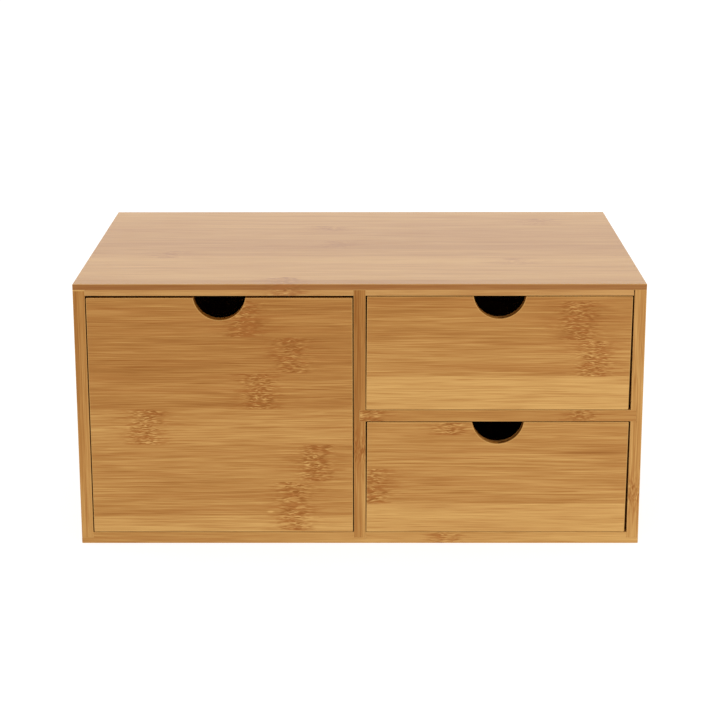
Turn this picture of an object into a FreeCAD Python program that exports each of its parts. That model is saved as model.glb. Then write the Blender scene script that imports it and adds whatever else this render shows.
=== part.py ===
import FreeCAD, Part

import os

import Sketcher

# Desk organizer: a bamboo case with one tall drawer on the left and two low drawers on the right.
# Frame: millimetres, +X to the right and +Z up as seen from the front, -Y towards the user.
# The origin is the centre of the case's underside.

# alias, millimetres, meaning
DIMENSIONS = [
    ("case_width", 335, "outside of the case, left to right"),
    ("case_depth", 225, "outside of the case, front to back"),
    ("case_height", 160, "outside of the case, bottom to top"),
    ("board", 7, "thickness of the case boards and the drawer fronts"),
    ("joint", 3.5, "depth of the rabbets, dadoes and grooves in the case boards"),
    ("back_board", 4, "thickness of the panel that closes the back"),
    ("back_inset", 6, "from the rear edges of the case to the back panel"),
    ("drawer_board", 6, "thickness of the sides and backs of the drawers"),
    ("front_lap", 3, "front wood left in front of a drawer side's end"),
    ("corner_joint", 3, "depth of the rabbet that holds a drawer's back"),
    ("floor_board", 3, "thickness of a drawer's floor"),
    ("floor_joint", 3, "depth of the groove that holds a drawer's floor"),
    ("floor_rise", 4, "from a drawer's lower edge to its floor"),
    ("side_drop", 5, "from a front's top edge down to the drawer's other walls"),
    ("front_lift", 0.2, "gap below a drawer front"),
    ("rear_gap", 0.5, "gap behind a closed drawer"),
    ("tall_side_gap", 0.6, "gap on each side of the tall drawer"),
    ("tall_top_gap", 1.3, "gap above the tall drawer's front"),
    ("low_side_gap", 0.9, "gap on each side of a low drawer"),
    ("low_top_gap", 0.45, "gap above a low drawer's front"),
    ("notch_radius", 15.4, "radius of the finger notch"),
    ("notch_rise", 2, "from a front's top edge up to the notch's centre"),
    ("ease", 0.45, "radius on the edges that a hand meets"),
]

# Derived sizes, as expressions on the sheet.
HALF_WIDTH = "(Sizes.case_width / 2)"
HALF_INSIDE = f"({HALF_WIDTH} - Sizes.board)"
HALF_DIVIDER = "(Sizes.board / 2)"
BACK_FACE = "(Sizes.case_depth - Sizes.back_inset - Sizes.back_board)"
CEILING = "(Sizes.case_height - Sizes.board)"
UPRIGHT_FOOT = "(Sizes.board - Sizes.joint)"
UPRIGHT_TOP = f"({CEILING} + Sizes.joint)"
SHELF_UNDERSIDE = "((Sizes.case_height - Sizes.board) / 2)"
SHELF_TOP = f"({SHELF_UNDERSIDE} + Sizes.board)"
OPENING_WIDTH = "(Sizes.case_width - 3 * Sizes.board) / 2"
OPENING_CENTRE = "(Sizes.case_width - Sizes.board) / 4"
TALL_OPENING = "(Sizes.case_height - 2 * Sizes.board)"
LOW_OPENING = "(Sizes.case_height - 3 * Sizes.board) / 2"
JOINT_REACH = f"({HALF_INSIDE} + Sizes.joint)"
DRAWER_LENGTH = f"({BACK_FACE} - Sizes.rear_gap)"
BACK_WALL = f"({DRAWER_LENGTH} - Sizes.drawer_board)"
FLOOR_TOP = "(Sizes.floor_rise + Sizes.floor_board)"

# drawer, side of the case, floor of its opening, height of its opening, its gaps
DRAWERS = [
    ("large_drawer", "-", "Sizes.board", TALL_OPENING, "tall"),
    ("upper_drawer", "", SHELF_TOP, LOW_OPENING, "low"),
    ("lower_drawer", "", "Sizes.board", LOW_OPENING, "low"),
]

# Each origin plane's normal, as a direction along the axis that the plane crosses.
NORMALS = {"XY_Plane": 1, "XZ_Plane": -1, "YZ_Plane": 1}

# Sketcher's numbers for the points of a line or circle.
START_POINT = 1
END_POINT = 2
CENTRE_POINT = 3

PLACE_TOLERANCE = 1e-4
VOLUME_TOLERANCE = 1e-6

document = FreeCAD.newDocument("DeskOrganizer")
sheet = document.addObject("Spreadsheet::Sheet", "Sizes")
for row, (alias, millimetres, meaning) in enumerate(DIMENSIONS, start=1):
    sheet.set(f"A{row}", meaning)
    sheet.set(f"B{row}", str(millimetres))
    sheet.setAlias(f"B{row}", alias)
document.recompute()


def make_body(label, across="0", up="0"):
    """A body whose own origin is at the front face, moved across and up by two expressions."""
    body = document.addObject("PartDesign::Body", label)
    body.Label = label
    body.setExpression("Placement.Base.x", across)
    body.setExpression("Placement.Base.y", "-Sizes.case_depth / 2")
    body.setExpression("Placement.Base.z", up)
    return body


def make_sketch(body, name, plane, start):
    """A sketch on one of the body's own planes, moved to `start` along the axis it faces."""
    sketch = body.newObject("Sketcher::SketchObject", name)
    planes = {feature.Role: feature for feature in body.Origin.OriginFeatures}
    sketch.AttachmentSupport = [(planes[plane], "")]
    sketch.MapMode = "FlatFace"
    sketch.setExpression("AttachmentOffset.Base.z", f"{NORMALS[plane]} * ({start})")
    return sketch


def bind(sketch, kind, geometry, point, name, expression):
    """Hold one coordinate of a point at an expression."""
    index = sketch.addConstraint(Sketcher.Constraint(kind, geometry, point, 0.0))
    sketch.renameConstraint(index, name)
    sketch.setExpression(f"Constraints.{name}", expression)


def draw_rectangle(sketch, left, right, low, high):
    """A rectangle with each side bound to an expression."""
    corners = [(0, 0), (1, 0), (1, 1), (0, 1)]
    points = [FreeCAD.Vector(x, y, 0) for x, y in corners]
    for line in range(4):
        sketch.addGeometry(Part.LineSegment(points[line], points[(line + 1) % 4]), False)
    for line in range(4):
        following = (line + 1) % 4
        sketch.addConstraint(
            Sketcher.Constraint("Coincident", line, END_POINT, following, START_POINT)
        )
        direction = "Horizontal" if line % 2 == 0 else "Vertical"
        sketch.addConstraint(Sketcher.Constraint(direction, line))
    bind(sketch, "DistanceX", 0, START_POINT, "left", left)
    bind(sketch, "DistanceY", 0, START_POINT, "low", low)
    bind(sketch, "DistanceX", 1, END_POINT, "right", right)
    bind(sketch, "DistanceY", 1, END_POINT, "high", high)


def pad_rectangle(body, plane, rectangle, start, length):
    """The plain board: a rectangle padded along +X, +Y or +Z."""
    sketch = make_sketch(body, f"{body.Label}_outline", plane, start)
    draw_rectangle(sketch, *rectangle)
    pad = body.newObject("PartDesign::Pad", f"{body.Label}_pad")
    pad.Profile = sketch
    pad.Reversed = NORMALS[plane] < 0
    pad.setExpression("Length", length)
    document.recompute()


def pocket(body, name, plane, draw, start, length):
    """Cut what `draw` draws along +X, +Y or +Z, and make sure that it takes wood away."""
    before = body.Shape.Volume
    sketch = make_sketch(body, f"{body.Label}_{name}_outline", plane, start)
    draw(sketch)
    cut = body.newObject("PartDesign::Pocket", f"{body.Label}_{name}")
    cut.Profile = sketch
    cut.Reversed = NORMALS[plane] > 0
    cut.setExpression("Length", length)
    document.recompute()
    if body.Shape.Volume > before - VOLUME_TOLERANCE:
        raise RuntimeError(f"{cut.Name} cuts nothing")


def cut_rectangle(body, name, plane, rectangle, start, length):
    """A rabbet, dado or groove."""
    pocket(body, name, plane, lambda sketch: draw_rectangle(sketch, *rectangle), start, length)


def ease_edges(body, choose):
    """Round the edges that `choose` picks, given each edge and the board's bounds."""
    finished = body.Tip
    bounds = finished.Shape.BoundBox
    names = []
    for number, edge in enumerate(finished.Shape.Edges, start=1):
        if choose(edge, bounds):
            names.append(f"Edge{number}")
    if not names:
        raise RuntimeError(f"{body.Label} has no edge to ease")
    fillet = body.newObject("PartDesign::Fillet", f"{body.Label}_eased")
    fillet.Base = (finished, names)
    fillet.setExpression("Radius", "Sizes.ease")
    document.recompute()


def lies_at(edge, axis, place):
    """Whether an edge lies in the plane where one coordinate has the given value."""
    return all(abs(getattr(vertex, axis) - place) < PLACE_TOLERANCE for vertex in edge.Vertexes)


def is_round(edge):
    """Whether an edge is an arc, as the rims of a finger notch are."""
    return edge.Curve.TypeId == "Part::GeomCircle"


def make_panel(label, low, joint_low, is_top):
    """The case's top or bottom: lapped over the sides, with a dado and a groove for the back."""
    body = make_body(label)
    joint_high = f"({joint_low} + Sizes.joint)"
    whole = (f"-{HALF_WIDTH}", HALF_WIDTH, low, f"({low} + Sizes.board)")
    pad_rectangle(body, "XZ_Plane", whole, "0", "Sizes.case_depth")
    left_end = (f"-{HALF_WIDTH}", f"-{HALF_INSIDE}", joint_low, joint_high)
    cut_rectangle(body, "left_rabbet", "XZ_Plane", left_end, "0", "Sizes.case_depth")
    right_end = (HALF_INSIDE, HALF_WIDTH, joint_low, joint_high)
    cut_rectangle(body, "right_rabbet", "XZ_Plane", right_end, "0", "Sizes.case_depth")
    middle = (f"-{HALF_DIVIDER}", HALF_DIVIDER, joint_low, joint_high)
    cut_rectangle(body, "divider_dado", "XZ_Plane", middle, "0", BACK_FACE)
    groove = (f"-{HALF_INSIDE}", HALF_INSIDE, joint_low, joint_high)
    cut_rectangle(body, "back_groove", "XZ_Plane", groove, BACK_FACE, "Sizes.back_board")
    if is_top:
        ease_edges(body, lambda edge, bounds: lies_at(edge, "Z", bounds.ZMax))
    else:
        ease_edges(body, lambda edge, bounds: lies_at(edge, "Z", bounds.ZMin))


def make_upright(label, left, right, depth):
    """A board that stands in the top and bottom panels."""
    body = make_body(label)
    pad_rectangle(body, "XZ_Plane", (left, right, UPRIGHT_FOOT, UPRIGHT_TOP), "0", depth)
    return body


def cut_shelf_dado(body, left, right):
    """The dado that one end of the shelf stands in."""
    dado = (left, right, SHELF_UNDERSIDE, SHELF_TOP)
    cut_rectangle(body, "shelf_dado", "XZ_Plane", dado, "0", BACK_FACE)


def make_case_side(label, is_right):
    """One side of the case, grooved for the back, and on the right for the shelf too."""
    if is_right:
        body = make_upright(label, HALF_INSIDE, HALF_WIDTH, "Sizes.case_depth")
        joint = (HALF_INSIDE, JOINT_REACH)
    else:
        body = make_upright(label, f"-{HALF_WIDTH}", f"-{HALF_INSIDE}", "Sizes.case_depth")
        joint = (f"-{JOINT_REACH}", f"-{HALF_INSIDE}")
    groove = (*joint, UPRIGHT_FOOT, UPRIGHT_TOP)
    cut_rectangle(body, "back_groove", "XZ_Plane", groove, BACK_FACE, "Sizes.back_board")
    if is_right:
        cut_shelf_dado(body, *joint)

    def is_outer_corner(edge, bounds):
        outer_face = bounds.XMax if is_right else bounds.XMin
        return lies_at(edge, "X", outer_face) and edge.BoundBox.ZLength > PLACE_TOLERANCE

    ease_edges(body, is_outer_corner)


def make_divider(label):
    """The upright between the tall drawer and the low ones."""
    body = make_upright(label, f"-{HALF_DIVIDER}", HALF_DIVIDER, BACK_FACE)
    cut_shelf_dado(body, f"({HALF_DIVIDER} - Sizes.joint)", HALF_DIVIDER)


def make_shelf(label):
    """The board between the low drawers, from the divider to the right side."""
    body = make_body(label)
    whole = (f"({HALF_DIVIDER} - Sizes.joint)", JOINT_REACH, SHELF_UNDERSIDE, SHELF_TOP)
    pad_rectangle(body, "XZ_Plane", whole, "0", BACK_FACE)


def make_back(label):
    """The thin panel held in the grooves of the four outer boards."""
    body = make_body(label)
    whole = (f"-{JOINT_REACH}", JOINT_REACH, UPRIGHT_FOOT, UPRIGHT_TOP)
    pad_rectangle(body, "XZ_Plane", whole, BACK_FACE, "Sizes.back_board")


def draw_notch(sketch, centre_height):
    """The circle of a finger notch, centred above the middle of a front's top edge."""
    circle = Part.Circle(FreeCAD.Vector(0, 1, 0), FreeCAD.Vector(0, 0, 1), 1)
    sketch.addGeometry(circle, False)
    index = sketch.addConstraint(Sketcher.Constraint("Radius", 0, 1.0))
    sketch.renameConstraint(index, "radius")
    sketch.setExpression("Constraints.radius", "Sizes.notch_radius")
    bind(sketch, "DistanceX", 0, CENTRE_POINT, "across", "0")
    bind(sketch, "DistanceY", 0, CENTRE_POINT, "up", centre_height)


def make_drawer_front(label, place, half_width, inner_half, height):
    """A front with a finger notch, rabbeted at its ends and grooved for the floor."""
    body = make_body(label, *place)
    whole = (f"-{half_width}", half_width, "Sizes.front_lift", height)
    pad_rectangle(body, "XZ_Plane", whole, "0", "Sizes.board")
    rabbet_depth = "(Sizes.board - Sizes.front_lap)"
    left_end = (f"-{half_width}", f"-{inner_half}", "0", height)
    cut_rectangle(body, "left_rabbet", "XZ_Plane", left_end, "Sizes.front_lap", rabbet_depth)
    right_end = (inner_half, half_width, "0", height)
    cut_rectangle(body, "right_rabbet", "XZ_Plane", right_end, "Sizes.front_lap", rabbet_depth)
    groove = (f"-{inner_half}", inner_half, "Sizes.floor_rise", FLOOR_TOP)
    groove_start = "(Sizes.board - Sizes.floor_joint)"
    cut_rectangle(body, "floor_groove", "XZ_Plane", groove, groove_start, "Sizes.floor_joint")
    centre_height = f"({height} + Sizes.notch_rise)"
    pocket(
        body,
        "finger_notch",
        "XZ_Plane",
        lambda sketch: draw_notch(sketch, centre_height),
        "0",
        "Sizes.board",
    )
    ease_edges(body, lambda edge, bounds: lies_at(edge, "Y", bounds.YMin) or is_round(edge))


def make_drawer_side(label, place, half_width, inner_half, wall_top, is_right):
    """A side that runs on the case, grooved for the floor and rabbeted for the back."""
    body = make_body(label, *place)
    joint_face = f"({inner_half} + Sizes.floor_joint)"
    corner_face = f"({inner_half} + Sizes.corner_joint)"
    if is_right:
        whole = (inner_half, half_width)
        groove = (inner_half, joint_face)
        corner = (inner_half, corner_face)
    else:
        whole = (f"-{half_width}", f"-{inner_half}")
        groove = (f"-{joint_face}", f"-{inner_half}")
        corner = (f"-{corner_face}", f"-{inner_half}")
    length = f"({DRAWER_LENGTH} - Sizes.front_lap)"
    pad_rectangle(body, "XZ_Plane", (*whole, "0", wall_top), "Sizes.front_lap", length)
    slot = (*groove, "Sizes.floor_rise", FLOOR_TOP)
    cut_rectangle(body, "floor_groove", "XZ_Plane", slot, "Sizes.front_lap", length)
    rabbet = (*corner, "0", wall_top)
    cut_rectangle(body, "back_rabbet", "XZ_Plane", rabbet, BACK_WALL, "Sizes.drawer_board")

    def is_long_top_edge(edge, bounds):
        is_long = edge.BoundBox.YLength > bounds.YLength / 2
        return lies_at(edge, "Z", bounds.ZMax) and is_long

    ease_edges(body, is_long_top_edge)


def make_drawer_back(label, place, inner_half, wall_top):
    """The back wall of a drawer, let into its sides and grooved for the floor."""
    body = make_body(label, *place)
    half = f"({inner_half} + Sizes.corner_joint)"
    pad_rectangle(body, "XZ_Plane", (f"-{half}", half, "0", wall_top), BACK_WALL, "Sizes.drawer_board")
    groove = (f"-{half}", half, "Sizes.floor_rise", FLOOR_TOP)
    cut_rectangle(body, "floor_groove", "XZ_Plane", groove, BACK_WALL, "Sizes.floor_joint")

    def is_long_top_edge(edge, bounds):
        is_long = edge.BoundBox.XLength > bounds.XLength / 2
        return lies_at(edge, "Z", bounds.ZMax) and is_long

    ease_edges(body, is_long_top_edge)


def make_drawer_floor(label, place, inner_half):
    """The thin panel that slides into the grooves of a drawer's four walls."""
    body = make_body(label, *place)
    half = f"({inner_half} + Sizes.floor_joint)"
    start = "(Sizes.board - Sizes.floor_joint)"
    length = f"({BACK_WALL} + Sizes.floor_joint - {start})"
    pad_rectangle(body, "XZ_Plane", (f"-{half}", half, "Sizes.floor_rise", FLOOR_TOP), start, length)


def make_drawer(name, side, opening_floor, opening_height, kind):
    """The five boards of one drawer, in the drawer's own frame at the foot of its opening."""
    place = (f"{side}{OPENING_CENTRE}", opening_floor)
    half_width = f"({OPENING_WIDTH} / 2 - Sizes.{kind}_side_gap)"
    inner_half = f"({half_width} - Sizes.drawer_board)"
    height = f"({opening_height} - Sizes.{kind}_top_gap)"
    wall_top = f"({height} - Sizes.side_drop)"
    make_drawer_front(f"{name}_front", place, half_width, inner_half, height)
    make_drawer_side(f"{name}_left_side", place, half_width, inner_half, wall_top, is_right=False)
    make_drawer_side(f"{name}_right_side", place, half_width, inner_half, wall_top, is_right=True)
    make_drawer_back(f"{name}_back", place, inner_half, wall_top)
    make_drawer_floor(f"{name}_floor", place, inner_half)


def make_case():
    """The seven glued boards of the case."""
    make_panel("top_panel", CEILING, CEILING, is_top=True)
    make_panel("bottom_panel", "0", UPRIGHT_FOOT, is_top=False)
    make_case_side("left_side", is_right=False)
    make_case_side("right_side", is_right=True)
    make_divider("center_divider")
    make_shelf("drawer_shelf")
    make_back("back_panel")


def check_model():
    """Stop if anything in the document failed, or a board isn't one good solid."""
    for item in document.Objects:
        if {"Invalid", "Error"} & set(item.State):
            raise RuntimeError(f"{item.Label} failed: {item.State}")
    for body in boards():
        shape = body.Shape
        if shape.isNull() or not shape.isValid() or len(shape.Solids) != 1:
            raise RuntimeError(f"{body.Label} is not one valid solid")


def boards():
    """Every board of the organizer."""
    return [item for item in document.Objects if item.TypeId == "PartDesign::Body"]


make_case()
for drawer in DRAWERS:
    make_drawer(*drawer)
document.recompute()
check_model()
os.makedirs("parts", exist_ok=True)
for board in boards():
    board.Shape.exportStep(f"parts/{board.Label}.step")
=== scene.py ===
"""A bamboo desk organizer: a case of laminated bamboo boards with one tall and two low drawers."""

import math
from dataclasses import dataclass

import bmesh
import bpy
import numpy as np
from bpy.props import FloatProperty, FloatVectorProperty, PointerProperty
from mathutils import Matrix, Vector


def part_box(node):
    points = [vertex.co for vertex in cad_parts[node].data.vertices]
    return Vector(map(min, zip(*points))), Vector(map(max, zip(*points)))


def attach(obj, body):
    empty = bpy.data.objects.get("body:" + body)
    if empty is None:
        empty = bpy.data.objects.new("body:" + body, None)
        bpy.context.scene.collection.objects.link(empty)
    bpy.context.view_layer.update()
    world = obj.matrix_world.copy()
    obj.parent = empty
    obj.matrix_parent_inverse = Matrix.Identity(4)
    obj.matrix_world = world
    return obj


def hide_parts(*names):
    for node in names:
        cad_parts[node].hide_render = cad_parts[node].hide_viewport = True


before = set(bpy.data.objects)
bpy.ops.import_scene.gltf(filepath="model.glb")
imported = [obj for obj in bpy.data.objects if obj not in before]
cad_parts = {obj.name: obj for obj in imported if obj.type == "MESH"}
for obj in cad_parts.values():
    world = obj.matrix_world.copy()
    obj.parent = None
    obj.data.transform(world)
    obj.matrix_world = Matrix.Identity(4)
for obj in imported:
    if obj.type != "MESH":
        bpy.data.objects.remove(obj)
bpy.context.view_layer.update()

bl_info = {
    "name": "Desk organizer",
    "version": (1, 0, 0),
    "blender": (4, 5, 0),
    "location": "3D View > Sidebar > Organizer",
    "description": "Builds a bamboo desk organizer with three drawers round its packed frame",
    "category": "Add Mesh",
}

MM = 0.001
X, Y, Z = 0, 1, 2

ARC_STEPS = 4          # flats in each eased corner
CORNER_POINTS = ARC_STEPS + 1
NOTCH_STEPS = 56       # flats round a finger notch
CONVEX_TURN = 0.3      # sine of the least turn that counts as an outward corner
MERGE_DISTANCE = 1e-6
SMOOTH_LIMIT = 2 * MM  # a narrower face is part of a curve and is shaded smooth
# Faces narrower than the limit below are the eased edges; the shader paints a highlight on them.
HIGHLIGHT_LIMIT = 0.3 * MM  # a narrower face is part of an eased edge
HIGHLIGHT_ATTRIBUTE = "painted_highlight"          # face attribute: 1 on eased edges, 0 on flat faces

DRAWERS = ("large_drawer", "upper_drawer", "lower_drawer")


# ---------------------------------------------------------------- sizes and colours

class BoardProperties(bpy.types.PropertyGroup):
    """Sizes of the woodwork that the frame's boxes don't give."""

    ease: FloatProperty(
        name="Eased edge",
        description="Radius on the edges that a hand meets",
        default=0.45 * MM, min=0.0, unit="LENGTH", precision=5,
    )
    joint_ease: FloatProperty(
        name="Joint edge",
        description="Radius on the edges where two boards are glued",
        default=0.22 * MM, min=0.0, unit="LENGTH", precision=5,
    )
    notch_radius: FloatProperty(
        name="Notch radius",
        description="Radius of the finger notch in a drawer front",
        default=15.4 * MM, min=0.0, unit="LENGTH",
    )
    notch_rise: FloatProperty(
        name="Notch rise",
        description="From a front's top edge up to the centre of its notch",
        default=2 * MM, min=0.0, unit="LENGTH",
    )
    shoulder_gap: FloatProperty(
        name="Shoulder gap",
        description="Open joint between the top panel's right shoulder and the right side",
        default=0.5 * MM, min=0.0, unit="LENGTH", precision=5,
    )
    lean: FloatProperty(
        name="Lean",
        description="How far the foot of a low drawer's front is out of square",
        default=0.6 * MM, min=0.0, unit="LENGTH", precision=5,
    )


class BambooProperties(bpy.types.PropertyGroup):
    """Colours and figure of the bamboo."""

    pale: FloatVectorProperty(
        name="Pale fibre",
        description="Colour of the pith between the fibres",
        default=(0.62, 0.35, 0.105), min=0.0, max=1.0, subtype="COLOR",
    )
    middle: FloatVectorProperty(
        name="Middle tone",
        description="Overall colour of a strip",
        default=(0.42, 0.188, 0.040), min=0.0, max=1.0, subtype="COLOR",
    )
    dark: FloatVectorProperty(
        name="Dark fibre",
        description="Colour of the dark fibre bundles",
        default=(0.27, 0.090, 0.007), min=0.0, max=1.0, subtype="COLOR",
    )
    ruddy: FloatVectorProperty(
        name="Ruddy",
        description="Colour of the reddish streaks, most of them beside the joints of the culm",
        default=(0.37, 0.125, 0.020), min=0.0, max=1.0, subtype="COLOR",
    )
    strip_width: FloatProperty(
        name="Strip width",
        description="Width of the strips that the boards are glued from",
        default=22.1 * MM, min=1 * MM, unit="LENGTH",
    )
    fibre_length: FloatProperty(
        name="Fibre length",
        description="Length of the streaks along the grain",
        default=45 * MM, min=1 * MM, unit="LENGTH",
    )
    roughness: FloatProperty(
        name="Roughness",
        description="Roughness of the lacquer",
        default=0.42, min=0.0, max=1.0, subtype="FACTOR",
    )


class StageProperties(bpy.types.PropertyGroup):
    """Floor, light and camera."""

    floor_color: FloatVectorProperty(
        name="Floor",
        description="Colour of the floor",
        default=(0.3, 0.3, 0.3), min=0.0, max=1.0, subtype="COLOR",
    )
    sky_strength: FloatProperty(
        name="Studio light",
        description="Strength of the even light from all round",
        default=1.0, min=0.0,
    )
    focal_length: FloatProperty(
        name="Focal length",
        description="Focal length of the camera's lens, in millimetres",
        default=100.0, min=1.0, subtype="DISTANCE_CAMERA",
    )
    camera_tilt: FloatProperty(
        name="Camera tilt",
        description="How far the camera looks down",
        default=math.radians(14.962), subtype="ANGLE",
    )


# ---------------------------------------------------------------- the frame's measurements

class Span:
    """The box of one CAD node: low and high give its corners as arrays, in metres."""

    def __init__(self, node):
        low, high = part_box(node)
        self.low = np.array(low)
        self.high = np.array(high)


# ---------------------------------------------------------------- boards as carried outlines

def unit(vectors):
    """Each row divided by its length; a row of zeros stays zeros."""
    lengths = np.linalg.norm(vectors, axis=-1, keepdims=True)
    return np.divide(vectors, lengths, out=np.zeros_like(vectors), where=lengths > 0)


def eased_outline(outline, inset):
    """An outline drawn in by `inset`, with its outward corners rounded.

    A row is a corner p and its radius. With inward edge normals n1 and n2, the mitre is
    (n1 + n2) / (1 + n1.n2). An outward corner becomes an arc about p + radius * mitre,
    whose radius is the corner's less the inset. Any other corner moves to p + inset * mitre.
    """
    corners, radius = outline[:, :2], outline[:, 2:]
    before = unit(corners - np.roll(corners, 1, axis=0))
    after = unit(np.roll(corners, -1, axis=0) - corners)
    n1 = np.column_stack([-before[:, 1], before[:, 0]])
    n2 = np.column_stack([-after[:, 1], after[:, 0]])
    mitre = (n1 + n2) / (1 + np.sum(n1 * n2, axis=1, keepdims=True))
    turn = before[:, :1] * after[:, 1:] - before[:, 1:] * after[:, :1]
    reach = np.where(turn > CONVEX_TURN, np.maximum(radius, inset), inset)
    centre = corners + reach * mitre
    share = np.linspace(0, 1, CORNER_POINTS)[None, :, None]
    arms = unit(n1[:, None] * (1 - share) + n2[:, None] * share) * (reach - inset)[:, None]
    return (centre[:, None] - arms).reshape(-1, 2)


def carried_rings(sections, end_ease):
    """Outlines carried along an axis, as rings of (first, second, distance).

    A section (start, end, outline) is constant between its ends. The first and last rings
    close in along a quarter circle: inset = e * (1 - sin t) and depth = e * (1 - cos t).
    """
    turns = np.linspace(0, math.pi / 2, CORNER_POINTS)
    closing = list(zip(end_ease * (1 - np.cos(turns)), end_ease * (1 - np.sin(turns))))
    stations = [(sections[0][0] + depth, inset, sections[0][2]) for depth, inset in closing]
    for earlier, later in zip(sections[:-1], sections[1:]):
        stations += [(earlier[1], 0.0, earlier[2]), (later[0], 0.0, later[2])]
    stations += [(sections[-1][1] - depth, inset, sections[-1][2]) for depth, inset in closing[::-1]]
    rings = []
    for distance, inset, outline in stations:
        points = eased_outline(outline, inset)
        rings.append(np.column_stack([points, np.full(len(points), distance)]))
    return np.array(rings)


def in_axis_order(rings, axis):
    """Ring points as (x, y, z), for outlines that are carried along `axis`."""
    order = {X: (2, 0, 1), Y: (0, 2, 1), Z: (0, 1, 2)}[axis]
    return rings[..., order].reshape(-1, 3)


def ring_faces(ring_count, point_count):
    """The four-sided faces between neighbouring rings, as (rings - 1, points, 4) indices."""
    ring = np.arange(ring_count - 1)[:, None] * point_count
    point = np.arange(point_count)[None, :]
    following = (point + 1) % point_count
    beyond = ring + point_count
    return np.stack([ring + point, ring + following, beyond + following, beyond + point], axis=2)


def make_piece(name, points, faces):
    """A closed mesh object. Narrow faces are smooth, and the eased edges are marked for a painted
    highlight.
    """
    mesh = bpy.data.meshes.new(name)
    mesh.from_pydata(points.tolist(), [], faces)
    shape = bmesh.new()
    shape.from_mesh(mesh)
    bmesh.ops.remove_doubles(shape, verts=shape.verts, dist=MERGE_DISTANCE)
    bmesh.ops.recalc_face_normals(shape, faces=shape.faces)
    narrowest = np.array([min(edge.calc_length() for edge in face.edges) for face in shape.faces])
    is_strip = np.array([len(face.edges) <= 4 for face in shape.faces])
    shape.to_mesh(mesh)
    shape.free()
    mesh.polygons.foreach_set("use_smooth", is_strip & (narrowest < SMOOTH_LIMIT))
    painted_highlight = mesh.attributes.new(HIGHLIGHT_ATTRIBUTE, "FLOAT", "FACE")
    painted_highlight.data.foreach_set("value", (is_strip & (narrowest < HIGHLIGHT_LIMIT)).astype(np.float32))
    piece = bpy.data.objects.new(name, mesh)
    bpy.context.scene.collection.objects.link(piece)
    return piece


def make_board(node, body, sections, axis, end_ease):
    """A board whose outline, in the plane across `axis`, is carried along it.

    It stands for the CAD node of the same name and moves with its body.
    """
    rings = carried_rings(sections, end_ease)
    ring_count, point_count = rings.shape[:2]
    faces = ring_faces(ring_count, point_count).reshape(-1, 4).tolist()
    first = list(range(point_count))
    last = [(ring_count - 1) * point_count + index for index in first]
    piece = make_piece(board_name(node), in_axis_order(rings, axis), faces + [first[::-1], last])
    return stand_in(piece, node, body)


def board_name(node):
    """The name of the piece that stands for a CAD node."""
    return f"{node}_board"


def stand_in(piece, node, body):
    """Hide the CAD node behind the piece, and let the piece ride on the node's body."""
    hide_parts(node)
    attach(piece, body)
    return piece


def rectangle(low, high, radius):
    """A rectangle as outline rows, anticlockwise, with one corner radius."""
    corners = [(low[0], low[1]), (high[0], low[1]), (high[0], high[1]), (low[0], high[1])]
    return np.array([(*corner, radius) for corner in corners])


# ---------------------------------------------------------------- the case

def panel_outline(panel, shoulders, dado, levels, sizes):
    """A panel seen from the front: stepped over the sides, with a dado in the middle.

    `levels` gives the heights of the outer face, the rabbets, the dado and the inner face.
    """
    outer, rabbet, slot, inner = levels
    rows = [
        (panel.low[X], outer, sizes.ease),
        (panel.low[X], rabbet, sizes.joint_ease),
        (shoulders[0], rabbet, 0),
        (shoulders[0], inner, sizes.joint_ease),
        (dado[0], inner, sizes.joint_ease),
        (dado[0], slot, 0),
        (dado[1], slot, 0),
        (dado[1], inner, sizes.joint_ease),
        (shoulders[1], inner, sizes.joint_ease),
        (shoulders[1], rabbet, 0),
        (panel.high[X], rabbet, sizes.joint_ease),
        (panel.high[X], outer, sizes.ease),
    ]
    return np.array(rows)


def make_panel(node, is_top):
    """The top or bottom panel, with its rabbets, its dado and the groove for the back."""
    sizes = bpy.context.scene.organizer_boards
    panel, left, right = Span(node), Span("left_side"), Span("right_side")
    divider, back = Span("center_divider"), Span("back_panel")
    if is_top:
        outer, rabbet, inner = panel.high[Z], left.high[Z], panel.low[Z]
        shoulders = (left.high[X], right.low[X] - sizes.shoulder_gap)
    else:
        outer, rabbet, inner = panel.low[Z], left.low[Z], panel.high[Z]
        shoulders = (left.high[X], right.low[X])
    dado = (divider.low[X], divider.high[X])
    stretches = [
        (panel.low[Y], back.low[Y], (outer, rabbet, rabbet, inner)),
        (back.low[Y], back.high[Y], (outer, rabbet, rabbet, rabbet)),
        (back.high[Y], panel.high[Y], (outer, rabbet, inner, inner)),
    ]
    sections = []
    for start, end, levels in stretches:
        outline = panel_outline(panel, shoulders, dado, levels, sizes)
        sections.append((start, end, outline if is_top else outline[::-1]))
    return make_board(node, "case", sections, Y, sizes.joint_ease)


def make_case_side(node, is_right):
    """One side seen from above, grooved for the back, and on the right let in for the shelf."""
    sizes = bpy.context.scene.organizer_boards
    side, back, shelf = Span(node), Span("back_panel"), Span("drawer_shelf")
    outer = side.high[X] if is_right else side.low[X]
    inner = side.low[X] if is_right else side.high[X]
    groove = back.high[X] if is_right else back.low[X]

    def outline(inner_front):
        rows = [
            (outer, side.low[Y], sizes.ease),
            (inner_front, side.low[Y], sizes.joint_ease),
            (inner_front, back.low[Y], 0),
            (groove, back.low[Y], 0),
            (groove, back.high[Y], 0),
            (inner, back.high[Y], 0),
            (inner, side.high[Y], sizes.joint_ease),
            (outer, side.high[Y], sizes.ease),
        ]
        return np.array(rows[::-1] if is_right else rows)

    if is_right:
        sections = [
            (side.low[Z], shelf.low[Z], outline(inner)),
            (shelf.low[Z], shelf.high[Z], outline(groove)),
            (shelf.high[Z], side.high[Z], outline(inner)),
        ]
    else:
        sections = [(side.low[Z], side.high[Z], outline(inner))]
    return make_board(node, "case", sections, Z, sizes.joint_ease)


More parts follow.
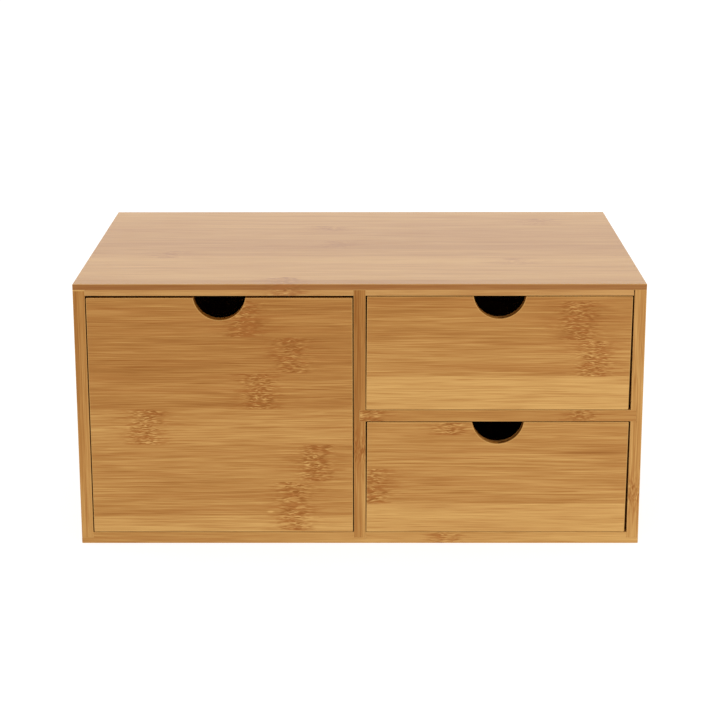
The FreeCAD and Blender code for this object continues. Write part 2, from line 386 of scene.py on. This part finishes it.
def make_divider(node):
    """The divider seen from above, let in on its right for the shelf."""
    sizes = bpy.context.scene.organizer_boards
    divider, shelf = Span(node), Span("drawer_shelf")
    whole = rectangle(divider.low[:2], divider.high[:2], sizes.joint_ease)
    let_in = rectangle(divider.low[:2], (shelf.low[X], divider.high[Y]), sizes.joint_ease)
    sections = [
        (divider.low[Z], shelf.low[Z], whole),
        (shelf.low[Z], shelf.high[Z], let_in),
        (shelf.high[Z], divider.high[Z], whole),
    ]
    return make_board(node, "case", sections, Z, sizes.joint_ease)


def make_plain_board(node, body):
    """A board with no joints cut in it, carried from front to back."""
    sizes = bpy.context.scene.organizer_boards
    span = Span(node)
    outline = rectangle(span.low[[X, Z]], span.high[[X, Z]], sizes.joint_ease)
    return make_board(node, body, [(span.low[Y], span.high[Y], outline)], Y, sizes.joint_ease)


# ---------------------------------------------------------------- the drawers

def front_outline(front, floor, left, right, sizes):
    """A drawer front between `left` and `right`, with the arc of its finger notch.

    The notch's centre is above the middle of the top edge, and its arc runs from mouth to
    mouth: across = R * cos a and down = R * sin a. The floor groove's edges are points too.
    """
    centre = (front.low[X] + front.high[X]) / 2
    mouth = math.asin(sizes.notch_rise / sizes.notch_radius)
    angles = np.linspace(mouth, math.pi - mouth, NOTCH_STEPS + 1)
    arc = np.column_stack([
        centre + sizes.notch_radius * np.cos(angles),
        front.high[Z] + sizes.notch_rise - sizes.notch_radius * np.sin(angles),
        np.full(len(angles), sizes.ease),
    ])
    low_corners = [
        (left, front.low[Z], sizes.ease),
        (right, front.low[Z], sizes.ease),
        (right, floor.low[Z], 0),
        (right, floor.high[Z], 0),
        (right, front.high[Z], sizes.ease),
    ]
    high_corners = [
        (left, front.high[Z], sizes.ease),
        (left, floor.high[Z], 0),
        (left, floor.low[Z], 0),
    ]
    return np.vstack([low_corners, arc, high_corners])


def leaning(outline, lean):
    """An outline sheared to the left: by nothing at its top and by `lean` at its foot."""
    heights = outline[:, 1]
    moved = outline.copy()
    moved[:, 0] -= lean * (heights.max() - heights) / np.ptp(heights)
    return moved


def make_drawer_front(drawer):
    """A front with eased edges and notch, rabbeted for the sides and grooved for the floor.

    The faces of the low drawers hang a little out of square in their openings.
    """
    sizes = bpy.context.scene.organizer_boards
    node = f"{drawer}_front"
    front, floor = Span(node), Span(f"{drawer}_floor")
    left_side, right_side = Span(f"{drawer}_left_side"), Span(f"{drawer}_right_side")
    lap = left_side.low[Y]
    whole = front_outline(front, floor, front.low[X], front.high[X], sizes)
    if drawer != "large_drawer":
        whole = leaning(whole, sizes.lean)
    behind = front_outline(front, floor, left_side.high[X], right_side.low[X], sizes)
    sections = [
        (front.low[Y], lap, whole),
        (lap, floor.low[Y], behind),
        (floor.low[Y], front.high[Y], behind),
    ]
    rings = carried_rings(sections, sizes.ease)
    ring_count, point_count = rings.shape[:2]
    quads = ring_faces(ring_count, point_count)
    # From the groove's own ring back, the side faces between its two edges go, and its
    # lower, upper and inner walls close the board again.
    groove_ring = ring_count - CORNER_POINTS - 1
    corner_count = len(whole)
    right_low, right_high = 2 * CORNER_POINTS, 3 * CORNER_POINTS
    left_high, left_low = (corner_count - 2) * CORNER_POINTS, (corner_count - 1) * CORNER_POINTS
    keep = np.ones(quads.shape[:2], dtype=bool)
    keep[groove_ring:, [right_high - 1, left_low - 1]] = False
    at = np.arange(ring_count * point_count).reshape(ring_count, point_count)
    groove_lower = [*at[groove_ring:, right_low], *at[groove_ring:, left_low][::-1]]
    groove_upper = [*at[groove_ring:, right_high], *at[groove_ring:, left_high][::-1]]
    groove_bottom = at[groove_ring, [left_low, right_low, right_high, left_high]]
    face_above = at[-1, right_high:left_low]
    face_below = [*at[-1, left_low:], *at[-1, :right_high]]
    caps = [at[0, ::-1], groove_lower, groove_upper, groove_bottom, face_above, face_below]
    faces = quads[keep].tolist() + [[int(index) for index in cap] for cap in caps]
    piece = make_piece(board_name(node), in_axis_order(rings, Y), faces)
    return stand_in(piece, node, drawer)


def make_drawer_side(drawer, is_right):
    """A drawer side seen from the front, grooved for the floor and rabbeted for the back."""
    sizes = bpy.context.scene.organizer_boards
    node = f"{drawer}_right_side" if is_right else f"{drawer}_left_side"
    side, floor, back = Span(node), Span(f"{drawer}_floor"), Span(f"{drawer}_back")
    outer = side.high[X] if is_right else side.low[X]
    inner = side.low[X] if is_right else side.high[X]
    groove = floor.high[X] if is_right else floor.low[X]
    rabbet = back.high[X] if is_right else back.low[X]

    def outline(inner_face):
        rows = [
            (outer, side.low[Z], sizes.ease),
            (inner_face, side.low[Z], sizes.ease),
            (inner_face, floor.low[Z], 0),
            (groove, floor.low[Z], 0),
            (groove, floor.high[Z], 0),
            (inner_face, floor.high[Z], 0),
            (inner_face, side.high[Z], sizes.ease),
            (outer, side.high[Z], sizes.ease),
        ]
        return np.array(rows[::-1] if is_right else rows)

    sections = [
        (side.low[Y], back.low[Y], outline(inner)),
        (back.low[Y], side.high[Y], outline(rabbet)),
    ]
    return make_board(node, drawer, sections, Y, sizes.joint_ease)


def make_drawer_back(drawer):
    """A drawer's back wall seen from the side, grooved for the floor."""
    sizes = bpy.context.scene.organizer_boards
    node = f"{drawer}_back"
    back, floor = Span(node), Span(f"{drawer}_floor")
    rows = [
        (back.low[Y], back.low[Z], sizes.ease),
        (back.high[Y], back.low[Z], sizes.ease),
        (back.high[Y], back.high[Z], sizes.ease),
        (back.low[Y], back.high[Z], sizes.ease),
        (back.low[Y], floor.high[Z], 0),
        (floor.high[Y], floor.high[Z], 0),
        (floor.high[Y], floor.low[Z], 0),
        (back.low[Y], floor.low[Z], 0),
    ]
    sections = [(back.low[X], back.high[X], np.array(rows))]
    return make_board(node, drawer, sections, X, sizes.joint_ease)


# ---------------------------------------------------------------- shader maths

# Sockets of a Mix node that is set to colours.
MIX_FACTOR, MIX_A, MIX_B, MIX_RESULT = 0, 6, 7, 2


class Wire:
    """One output of a node, with arithmetic that adds Math nodes."""

    def __init__(self, shader, socket):
        self.shader = shader
        self.socket = socket

    def math(self, operation, *others):
        """A Math node on this wire and the others."""
        node = self.shader.node("ShaderNodeMath", {"operation": operation}, [self, *others])
        return node.wire()

    def __add__(self, other):
        return self.math("ADD", other)

    __radd__ = __add__

    def __sub__(self, other):
        return self.math("SUBTRACT", other)

    def __rsub__(self, other):
        return self.shader.maths("SUBTRACT", other, self)

    def __mul__(self, other):
        return self.math("MULTIPLY", other)

    __rmul__ = __mul__

    def __truediv__(self, other):
        return self.math("DIVIDE", other)

    def __neg__(self):
        return self.math("MULTIPLY", -1.0)


class Built:
    """A node that has been added, whose outputs can be taken as wires."""

    def __init__(self, shader, node):
        self.shader = shader
        self.node = node

    def wire(self, output=0):
        """One output, by its place or its name."""
        return Wire(self.shader, self.node.outputs[output])


class Shader:
    """A material's node tree, filled by `node`."""

    def __init__(self, name):
        self.material = bpy.data.materials.new(name)
        self.material.use_nodes = True
        self.tree = self.material.node_tree
        self.tree.nodes.clear()

    def node(self, kind, settings=None, inputs=(), stops=None):
        """Add a node: its settings first, then its ramp's stops, then values or wires."""
        added = self.tree.nodes.new(kind)
        for setting, value in (settings or {}).items():
            setattr(added, setting, value)
        if stops:
            self.set_stops(added.color_ramp, stops)
        pairs = inputs.items() if isinstance(inputs, dict) else enumerate(inputs)
        for key, value in pairs:
            if isinstance(value, Wire):
                self.tree.links.new(value.socket, added.inputs[key])
            else:
                added.inputs[key].default_value = value
        return Built(self, added)

    @staticmethod
    def set_stops(ramp, stops):
        """Give a ramp its (place, colour) stops."""
        while len(ramp.elements) < len(stops):
            ramp.elements.new(1.0)
        for element, (place, colour) in zip(ramp.elements, stops):
            element.position = place
            element.color = (*colour, 1.0)

    def maths(self, operation, *values):
        """A Math node on values of which the first may be a plain number."""
        return self.node("ShaderNodeMath", {"operation": operation}, values).wire()

    def vector(self, x, y, z):
        """Three numbers as one vector."""
        return self.node("ShaderNodeCombineXYZ", inputs=(x, y, z)).wire()

    def noise(self, place, detail=2.0, roughness=0.5):
        """Smooth noise from 0 to 1 at a place, one cell to a unit."""
        settings = {"noise_dimensions": "3D"}
        inputs = {"Vector": place, "Scale": 1.0, "Detail": detail, "Roughness": roughness}
        return self.node("ShaderNodeTexNoise", settings, inputs).wire("Fac")

    def ramp(self, value, low, high):
        """0 below `low`, 1 above `high`, and a smooth step between."""
        settings = {"interpolation_type": "SMOOTHSTEP"}
        inputs = {"Value": value, "From Min": low, "From Max": high}
        return self.node("ShaderNodeMapRange", settings, inputs).wire("Result")

    def band(self, value, low, high, blur):
        """1 between `low` and `high` and 0 outside, softened by `blur` at each end."""
        return self.ramp(value, low - blur, low + blur) - self.ramp(value, high - blur, high + blur)

    def mix(self, share, first, second):
        """Two colours mixed; the second may be a plain colour."""
        if not isinstance(second, Wire):
            second = (*second, 1.0)
        inputs = {MIX_FACTOR: share, MIX_A: first, MIX_B: second}
        return self.node("ShaderNodeMix", {"data_type": "RGBA"}, inputs).wire(MIX_RESULT)

    def bell(self, offset, width):
        """1 where the offset is 0, falling to 0 on both sides: exp(-(offset / width)^2)."""
        scaled = offset / width
        return self.maths("EXPONENT", -(scaled * scaled))

    def finish(self, inputs):
        """The surface shader and the material's output."""
        surface = self.node("ShaderNodeBsdfPrincipled", inputs=inputs)
        self.node("ShaderNodeOutputMaterial", inputs={"Surface": surface.wire("BSDF")})
        return self.material


# ---------------------------------------------------------------- bamboo

# Grain directions: the axes along the grain, across the strips and through the board.
GRAIN_ACROSS_FRONT = (X, Z, Y)
GRAIN_ACROSS_TOP = (X, Y, Z)
GRAIN_UPRIGHT = (Z, Y, X)
GRAIN_BACKWARDS = (Y, Z, X)

# In millimetres: the spacing of the culm's joints, and how far their streaks reach.
INTERNODE = 290.0
HALO_WIDTH = 16.0
# How far a joint wanders to and fro along its strip, and over what width, in millimetres.
WANDER_REACH = 9.0
WANDER_CELL = 7.0
# Joints that aren't listed: their strength, and how far they are shifted between strips,
# in internodes.
PLAIN_STRENGTH = 0.91
PLAIN_SHIFT = 7.0
# The halo raised to this power is the joint itself, half as wide.
JOINT_POWER = 4.0
STRENGTH_POWER = 1 / JOINT_POWER
# What a joint's edges and the faces of a band through the board are softened by, in millimetres.
SEAM_BLUR = 0.6
THROUGH_BAND_BLUR = 0.2

# One cell of each layer of noise, along the grain and across it, in millimetres.
SWAY_CELL = (140.0, 24.0)
TWIST_CELL = (4.0, 2.0)
FLECK_CELL = (4.0, 0.55)
STREAK_CELL = (13.0, 0.9)
PATCH_CELL = (7.0, 2.5)
# The same, with the length given in fibre lengths.
FINE_CELL = (0.8, 0.5)
MEDIUM_CELL = (1.6, 1.15)
BROAD_CELL = (3.0, 6.0)
BUNDLE_CELL = (0.8, 0.7)
BLUSH_CELL = (2.2, 3.6)
# Between these values of its noise a patchy layer comes in.
PATCH_EDGES = (0.35, 0.60)
STREAK_EDGES = (0.51, 0.62)
BLUSH_EDGES = (0.45, 0.70)
BUNDLE_EDGES = (0.62, 0.70)
# How far the fibres lean to the side, in millimetres: everywhere, and at a joint.
SWAY_REACH = 4.0
TWIST_REACH = 2.6

# What each layer adds to the lightness, where the whole range is 1.
FINE_WEIGHT = 1.0
MEDIUM_WEIGHT = 0.25
BROAD_WEIGHT = 0.30
BUNDLE_WEIGHT = -0.17
FLECK_WEIGHT = 4.0
FLECK_MIDDLE = 0.53
STREAK_WEIGHT = -0.24
JOINT_WEIGHT = -0.07
# How much of the ruddy colour each layer brings.
STREAK_BLUSH = 0.45
JOINT_BLUSH = 0.10
BROAD_BLUSH = 0.16
# How far the eased edges turn pale, a painted highlight, and the relief of the fibres, in metres.
HIGHLIGHT_STRENGTH = 0.5
RELIEF = 0.06 * MM

# Each strip is cut from another place along its culm, and every board from another culm.
STRIP_SHIFT = 900.0
BOARD_SHIFT = 170.0
TONE_SHIFT = 60.0


@dataclass
class Figure:
    """What sets one board's bamboo apart from the next. Places are in millimetres.

    seed: moves the pattern. grain: one of the grain directions. first_seam: a strip's
    edge on the axis across the strips. tones: the lightness of each strip in turn, from
    the first seam up; on the drawer fronts they rise towards the foot, partly the strips'
    own tone and partly painted light from the floor. variety: the range of the random
    lightness of the strips.
    knuckles: (along, low, high, strength) of the culm's joints. marks: (along, across,
    half length, half height, tone) of stains and flecks. tone: lightness added to the
    whole board. fades: (low, high, tone), lightness that comes in between two places
    along the grain; on the upright boards one is painted shade towards their tops.
    through_band: (low, high, tone), lightness added between two places through the
    board; on the drawer fronts it is painted shade on their edges. contrast: strength
    of the fibres. gloss: index of refraction of the finish.
    """

    seed: float
    grain: tuple
    first_seam: float = 0.0
    tones: tuple = ()
    variety: float = 0.22
    knuckles: tuple = ()
    marks: tuple = ()
    tone: float = 0.0
    fades: tuple = ()
    through_band: tuple = ()
    contrast: float = 1.0
    gloss: float = 1.3


def joint_halo(shader, along, across, figure, strip_shift):
    """How near a point is to a joint of the culm, from 0 to 1.

    Listed joints fill their own strips. A board with none listed gets them at a fixed
    spacing along each strip, shifted from strip to strip.
    """
    wander = shader.noise(shader.vector(figure.seed * 3.1, across / WANDER_CELL, 0.0), 1.0) - 0.5
    along = along + wander * WANDER_REACH
    if not figure.knuckles:
        place = along / INTERNODE + strip_shift * PLAIN_SHIFT
        offset = (place.math("FRACT") - 0.5) * INTERNODE
        return shader.bell(offset, HALO_WIDTH) * PLAIN_STRENGTH
    halo = None
    for centre, low, high, strength in figure.knuckles:
        inside = shader.band(across, low, high, SEAM_BLUR)
        near = shader.bell(along - centre, HALO_WIDTH) * inside * strength ** STRENGTH_POWER
        halo = near if halo is None else halo.math("MAXIMUM", near)
    return halo


def strip_tones(shader, strip, random, figure):
    """The lightness of the strip a point is in: chosen strip by strip, or random."""
    lightness = (random - 0.5) * figure.variety
    for index, tone in enumerate(figure.tones):
        here = shader.maths("COMPARE", strip, float(index), 0.5)
        lightness = lightness + here * tone
    return lightness


def make_bamboo(name, figure):
    """Laminated bamboo: strips of slightly different tone, fine fibres, and the culm's joints.

    Works in millimetres on Object coordinates. Each layer of fibre is noise stretched
    along the grain. At a joint the fibres are pushed sideways and break into flecks, and
    dark streaks run out of it on both sides.
    """
    look = bpy.context.scene.organizer_bamboo
    shader = Shader(name)
    place = shader.node("ShaderNodeTexCoord").wire("Object")
    axes = shader.node("ShaderNodeSeparateXYZ", inputs=[place])
    along, across, through = (axes.wire(axis) * (1 / MM) for axis in figure.grain)
    strip = ((across - figure.first_seam) / (look.strip_width / MM)).math("FLOOR")
    strip_random = shader.node(
        "ShaderNodeTexWhiteNoise",
        {"noise_dimensions": "2D"},
        {"Vector": shader.vector(strip, figure.seed, 0.0)},
    )
    tone_random = strip_random.wire("Value")
    shift_random = shader.node("ShaderNodeSeparateColor", inputs=[strip_random.wire("Color")]).wire(1)
    halo = joint_halo(shader, along, across, figure, shift_random)
    patch_length, patch_height = PATCH_CELL
    patches = shader.noise(
        shader.vector(along / patch_length, across / patch_height, figure.seed), 1.0
    )
    joint = halo.math("POWER", JOINT_POWER) * (0.45 + shader.ramp(patches, *PATCH_EDGES) * 0.65)

    own_along = along + shift_random * STRIP_SHIFT + figure.seed * BOARD_SHIFT
    own_through = through + tone_random * TONE_SHIFT

    def layer(cell, sideways, unit_length=1.0, detail=1.0, roughness=0.5):
        """Noise whose cell is given in millimetres, or in a unit of its own along the grain."""
        cell_length, cell_height = cell
        spot = shader.vector(
            own_along / (cell_length * unit_length),
            (across + sideways) / cell_height,
            own_through / cell_height,
        )
        return shader.noise(spot, detail, roughness)

    sway = (layer(SWAY_CELL, 0.0) - 0.5) * SWAY_REACH
    twist = (layer(TWIST_CELL, 0.0) - 0.5) * joint * TWIST_REACH
    sideways = sway + twist
    fibre = look.fibre_length / MM
    fine = layer(FINE_CELL, sideways, fibre, 2.0, 0.6)
    medium = layer(MEDIUM_CELL, sideways, fibre, 2.0)
    broad = layer(BROAD_CELL, sideways, fibre)
    flecks = layer(FLECK_CELL, sideways)
    streaks = shader.ramp(layer(STREAK_CELL, sideways), *STREAK_EDGES) * halo
    blush = shader.ramp(layer(BLUSH_CELL, sideways, fibre), *BLUSH_EDGES)
    bundles = shader.ramp(layer(BUNDLE_CELL, sideways, fibre), *BUNDLE_EDGES) * (1.0 - joint)
    lightness = (
        0.5
        + (fine - 0.5) * (FINE_WEIGHT * figure.contrast) * (1.0 - joint * 0.6)
        + (medium - 0.5) * (MEDIUM_WEIGHT * figure.contrast)
        + (broad - 0.5) * BROAD_WEIGHT
        + bundles * (BUNDLE_WEIGHT * figure.contrast)
        + (flecks - FLECK_MIDDLE) * joint * FLECK_WEIGHT
        + streaks * STREAK_WEIGHT
        + joint * JOINT_WEIGHT
        + strip_tones(shader, strip, tone_random, figure)
        + figure.tone
    )
    # A band through the board; on the drawer fronts it is painted shade on their edges.
    if figure.through_band:
        low, high, tone = figure.through_band
        lightness = lightness + shader.band(through, low, high, THROUGH_BAND_BLUR) * tone
    for low, high, tone in figure.fades:
        lightness = lightness + shader.ramp(along, low, high) * tone
    for centre, middle, half_length, half_height, tone in figure.marks:
        mark = shader.bell(along - centre, half_length) * shader.bell(across - middle, half_height)
        lightness = lightness + mark * tone
    colour = shader.node(
        "ShaderNodeValToRGB",
        inputs=[lightness],
        stops=[(0.10, look.dark), (0.50, look.middle), (0.90, look.pale)],
    ).wire("Color")
    redness = streaks * STREAK_BLUSH + joint * JOINT_BLUSH + blush * BROAD_BLUSH
    colour = shader.mix(redness, colour, look.ruddy)
    painted_highlight = shader.node("ShaderNodeAttribute", {"attribute_name": HIGHLIGHT_ATTRIBUTE}).wire("Fac")
    # Eased edges are mixed towards the pale colour: a painted highlight.
    colour = shader.mix(painted_highlight * HIGHLIGHT_STRENGTH, colour, look.pale)
    bump = shader.node(
        "ShaderNodeBump",
        inputs={"Strength": 0.2, "Distance": RELIEF, "Height": fine + flecks * joint},
    )
    return shader.finish({
        "Base Color": colour,
        "Roughness": look.roughness + (fine - 0.5) * -0.12,
        "Normal": bump.wire("Normal"),
        "IOR": figure.gloss,
    })


def paint(piece, material):
    """Give a piece one material."""
    piece.data.materials.clear()
    piece.data.materials.append(material)


# A drawer front is darker in a band a little behind its face: painted shade on its edges, in the gaps
# round it and in its notch.
FRONT_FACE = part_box("large_drawer_front")[0][Y] / MM
PAINTED_EDGE_SHADE = (FRONT_FACE + 0.7, FRONT_FACE + 5.0, -0.3)

# The boards that show from the front, each with what its Figure is given beside the seed.
FIGURES = {
    "large_drawer_front": {
        "grain": GRAIN_ACROSS_FRONT,
        "through_band": PAINTED_EDGE_SHADE,
        "first_seam": -4.5,
        # These strip tones rise towards the foot of the front: the strips' own tone, and painted
        # light from the floor.
        "tones": (0.23, 0.14, 0.07, 0.08, 0.02, 0.0, -0.02),
        "knuckles": (
            (-69.0, 128.0, 150.0, 0.9),
            (-40.0, 106.0, 128.0, 0.8),
            (-60.0, 84.0, 106.0, 1.0),
            (-127.0, 62.0, 84.0, 1.0),
            (-26.0, 39.0, 62.0, 0.9),
            (-40.0, 8.0, 39.0, 0.8),
        ),
        "marks": (
            (-53.5, 20.0, 1.6, 0.5, 0.7),
            (-62.0, 137.0, 9.0, 3.0, -0.12),
            (-56.0, 87.0, 8.0, 2.0, -0.16),
            (-122.0, 81.0, 9.0, 2.0, -0.16),
            (-140.0, 102.0, 30.0, 1.0, -0.14),
        ),
    },
    "upper_drawer_front": {
        "grain": GRAIN_ACROSS_FRONT,
        "through_band": PAINTED_EDGE_SHADE,
        "first_seam": 60.0,
        # These strip tones rise towards the foot of the front: the strips' own tone, and painted
        # light from the floor.
        "tones": (0.24, 0.20, 0.06, -0.05),
        "knuckles": (
            (128.0, 126.0, 150.0, 1.0),
            (138.0, 104.0, 126.0, 1.0),
        ),
        "marks": (
            (122.0, 129.0, 8.0, 2.5, -0.22),
            (133.0, 138.0, 12.0, 7.0, -0.08),
        ),
    },
    "lower_drawer_front": {
        "grain": GRAIN_ACROSS_FRONT,
        "through_band": PAINTED_EDGE_SHADE,
        "first_seam": 3.0,
        # These strip tones rise towards the foot of the front: the strips' own tone, and painted
        # light from the floor.
        "tones": (0.25, 0.12, 0.08, 0.01),
        "knuckles": (
            (54.0, 68.0, 76.0, 0.8),
            (7.0, 25.0, 47.0, 0.9),
        ),
        "marks": (
            (142.0, 57.0, 26.0, 1.6, -0.2),
            (130.0, 62.0, 22.0, 1.2, -0.14),
            (46.0, 39.0, 12.0, 3.0, -0.1),
        ),
    },
    "top_panel": {
        "grain": GRAIN_ACROSS_TOP,
        "first_seam": -123.0,
        "tones": (0.03, 0.09, 0.05, 0.06, 0.02, -0.02, -0.02, -0.04, 0.0, 0.07, 0.09),
        "variety": 0.1,
        "knuckles": (
            (-43.0, -113.0, -94.0, 0.7),
            (-20.0, 44.0, 62.0, 0.5),
            (-14.0, -8.0, 14.0, 0.4),
            (96.0, -60.0, -40.0, 0.4),
            (-118.0, -40.0, -18.0, 0.4),
            (120.0, 66.0, 88.0, 0.4),
        ),
        "tone": 0.12,
        "through_band": (156.5, 159.7, -0.39),
        "contrast": 0.6,
        "gloss": 1.42,
    },
    "bottom_panel": {
        "grain": GRAIN_ACROSS_TOP,
        "knuckles": (
            (50.0, -113.0, -94.0, 0.7),
            (-96.0, -70.0, -48.0, 0.8),
            (-20.0, 0.0, 22.0, 0.8),
            (110.0, 40.0, 62.0, 0.8),
        ),
        "tone": 0.12,
        "fades": ((-80.0, 20.0, 0.17),),
        "contrast": 0.8,
    },
    "drawer_shelf": {
        "grain": GRAIN_ACROSS_TOP,
        "knuckles": (
            (6.0, -113.0, -94.0, 0.9),
            (132.0, -113.0, -94.0, 0.7),
            (60.0, -40.0, -18.0, 0.8),
            (110.0, 30.0, 52.0, 0.8),
        ),
        "tone": -0.08,
        "contrast": 0.8,
    },
    "center_divider": {
        "grain": GRAIN_UPRIGHT,
        "knuckles": (
            (60.0, -113.0, -94.0, 0.7),
            (110.0, -50.0, -28.0, 0.8),
            (40.0, 10.0, 32.0, 0.8),
            (130.0, 60.0, 82.0, 0.8),
        ),
        "tone": -0.12,
        # This fade darkens the divider towards its top: painted shade.
        "fades": ((10.0, 150.0, -0.25),),
        "through_band": (0.8, 9.0, 0.16),
    },
    # The first fade darkens the side towards its top: painted shade. The last fade is the pale line
    # of glue under the top panel.
    "left_side": {
        "grain": GRAIN_UPRIGHT,
        "tone": 0.15,
        "fades": ((10.0, 150.0, -0.29), (155.8, 156.0, 0.9)),
        "through_band": (-163.6, -150.0, 0.12),
    },
    "right_side": {
        "grain": GRAIN_UPRIGHT,
        "tone": 0.12,
        # This fade darkens the side towards its top: painted shade.
        "fades": ((10.0, 150.0, -0.14),),
    },
}


def board_figure(node):
    """The bamboo of one board: its own where it shows, or else that of its kind."""
    seed = float(sorted(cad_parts).index(node)) + 1.0
    if node in FIGURES:
        return Figure(seed, **FIGURES[node])
    if node.endswith("_floor"):
        return Figure(seed, GRAIN_ACROSS_TOP, tone=0.1)
    if node.endswith("_side"):
        return Figure(seed, GRAIN_BACKWARDS, tone=0.1)
    return Figure(seed, GRAIN_ACROSS_FRONT, tone=0.05)


# ---------------------------------------------------------------- floor, light and camera

FLOOR_SIZE = 60.0
FLOOR_GLOW = 0.8
LIGHTS_TARGET = (0.0, 0.0, 0.05)
# The camera stands nearly square to the front: its place, and its small turn and roll.
CAMERA_PLACE = (0.0045, -1.2491, 0.4180)
CAMERA_TURN = math.radians(0.215)
CAMERA_ROLL = math.radians(-0.077)


def make_floor(look):
    """A wide pale floor: the square |x|, |y| <= half the size, at the height of the case's foot."""
    half = FLOOR_SIZE / 2
    corners = [(-half, -half, 0), (half, -half, 0), (half, half, 0), (-half, half, 0)]
    mesh = bpy.data.meshes.new("floor")
    mesh.from_pydata(corners, [], [(0, 1, 2, 3)])
    floor = bpy.data.objects.new("floor", mesh)
    bpy.context.scene.collection.objects.link(floor)
    shader = Shader("floor_paint")
    paint(floor, shader.finish({
        "Base Color": (*look.floor_color, 1.0),
        "Roughness": 1.0,
        "Specular IOR Level": 0.0,
        "Emission Color": (1.0, 1.0, 1.0, 1.0),
        "Emission Strength": FLOOR_GLOW,
    }))


def make_area_light(name, place, size, power):
    """A square soft light at `place`, turned towards the object."""
    data = bpy.data.lights.new(name, "AREA")
    data.shape = "SQUARE"
    data.size = size
    data.energy = power
    light = bpy.data.objects.new(name, data)
    light.location = place
    direction = Vector(LIGHTS_TARGET) - Vector(place)
    light.rotation_euler = direction.to_track_quat("-Z", "Y").to_euler()
    bpy.context.scene.collection.objects.link(light)


def make_lights(look):
    """An even white sky, a broad softbox behind and above, and a low fill from the right."""
    world = bpy.data.worlds.new("studio")
    world.use_nodes = True
    background = world.node_tree.nodes["Background"]
    background.inputs["Color"].default_value = (1.0, 1.0, 1.0, 1.0)
    background.inputs["Strength"].default_value = look.sky_strength
    bpy.context.scene.world = world
    make_area_light("low_fill", (0.45, -0.7, 0.08), size=0.25, power=0.5)
    make_area_light("back_softbox", (0.0, 1.8, 1.1), size=1.6, power=5.0)


def make_camera(look):
    """A camera in front of the case, looking down at it."""
    data = bpy.data.cameras.new("camera")
    data.lens = look.focal_length
    camera = bpy.data.objects.new("camera", data)
    turn = Matrix.Rotation(CAMERA_TURN, 4, "Z")
    tilt = Matrix.Rotation(math.pi / 2 - look.camera_tilt, 4, "X")
    roll = Matrix.Rotation(CAMERA_ROLL, 4, "Z")
    camera.matrix_world = Matrix.Translation(CAMERA_PLACE) @ turn @ tilt @ roll
    bpy.context.scene.collection.objects.link(camera)
    bpy.context.scene.camera = camera


# ---------------------------------------------------------------- operators and panel

class ORGANIZER_OT_case(bpy.types.Operator):
    """Makes the seven boards of the case"""

    bl_idname = "organizer.case"
    bl_label = "Case"

    def execute(self, context):
        pieces = {
            "top_panel": make_panel("top_panel", is_top=True),
            "bottom_panel": make_panel("bottom_panel", is_top=False),
            "left_side": make_case_side("left_side", is_right=False),
            "right_side": make_case_side("right_side", is_right=True),
            "center_divider": make_divider("center_divider"),
            "drawer_shelf": make_plain_board("drawer_shelf", "case"),
            "back_panel": make_plain_board("back_panel", "case"),
        }
        for node, piece in pieces.items():
            paint(piece, make_bamboo(f"{node}_bamboo", board_figure(node)))
        return {"FINISHED"}


class ORGANIZER_OT_drawers(bpy.types.Operator):
    """Makes the five boards of each of the three drawers"""

    bl_idname = "organizer.drawers"
    bl_label = "Drawers"

    def execute(self, context):
        for drawer in DRAWERS:
            pieces = {
                f"{drawer}_front": make_drawer_front(drawer),
                f"{drawer}_left_side": make_drawer_side(drawer, is_right=False),
                f"{drawer}_right_side": make_drawer_side(drawer, is_right=True),
                f"{drawer}_back": make_drawer_back(drawer),
                f"{drawer}_floor": make_plain_board(f"{drawer}_floor", drawer),
            }
            for node, piece in pieces.items():
                paint(piece, make_bamboo(f"{node}_bamboo", board_figure(node)))
        return {"FINISHED"}


class ORGANIZER_OT_stage(bpy.types.Operator):
    """Sets the floor, the soft studio light and the camera"""

    bl_idname = "organizer.stage"
    bl_label = "Stage"

    def execute(self, context):
        look = context.scene.organizer_stage
        make_floor(look)
        make_lights(look)
        make_camera(look)
        context.scene.view_settings.view_transform = "Standard"
        return {"FINISHED"}


class ORGANIZER_PT_panel(bpy.types.Panel):
    """Lists the steps and the sizes of the organizer"""

    bl_idname = "ORGANIZER_PT_panel"
    bl_label = "Desk organizer"
    bl_space_type = "VIEW_3D"
    bl_region_type = "UI"
    bl_category = "Organizer"

    def draw(self, context):
        column = self.layout.column()
        for operator in OPERATORS:
            column.operator(operator.bl_idname)
        for group in (context.scene.organizer_boards, context.scene.organizer_bamboo,
                      context.scene.organizer_stage):
            box = self.layout.box()
            for field in group.bl_rna.properties.keys():
                if field not in ("rna_type", "name"):
                    box.prop(group, field)


GROUPS = {
    "organizer_boards": BoardProperties,
    "organizer_bamboo": BambooProperties,
    "organizer_stage": StageProperties,
}
OPERATORS = (ORGANIZER_OT_case, ORGANIZER_OT_drawers, ORGANIZER_OT_stage)


def register():
    """Adds the property groups, the operators and the panel."""
    for name, group in GROUPS.items():
        bpy.utils.register_class(group)
        setattr(bpy.types.Scene, name, PointerProperty(type=group))
    for cls in (*OPERATORS, ORGANIZER_PT_panel):
        bpy.utils.register_class(cls)


def unregister():
    """Removes what register added, in the opposite order."""
    for cls in (ORGANIZER_PT_panel, *OPERATORS[::-1]):
        bpy.utils.unregister_class(cls)
    for name, group in reversed(GROUPS.items()):
        delattr(bpy.types.Scene, name)
        bpy.utils.unregister_class(group)


def main():
    """Builds the organizer and its stage."""
    register()
    bpy.ops.organizer.case()
    bpy.ops.organizer.drawers()
    bpy.ops.organizer.stage()


if __name__ == "__main__":
    main()
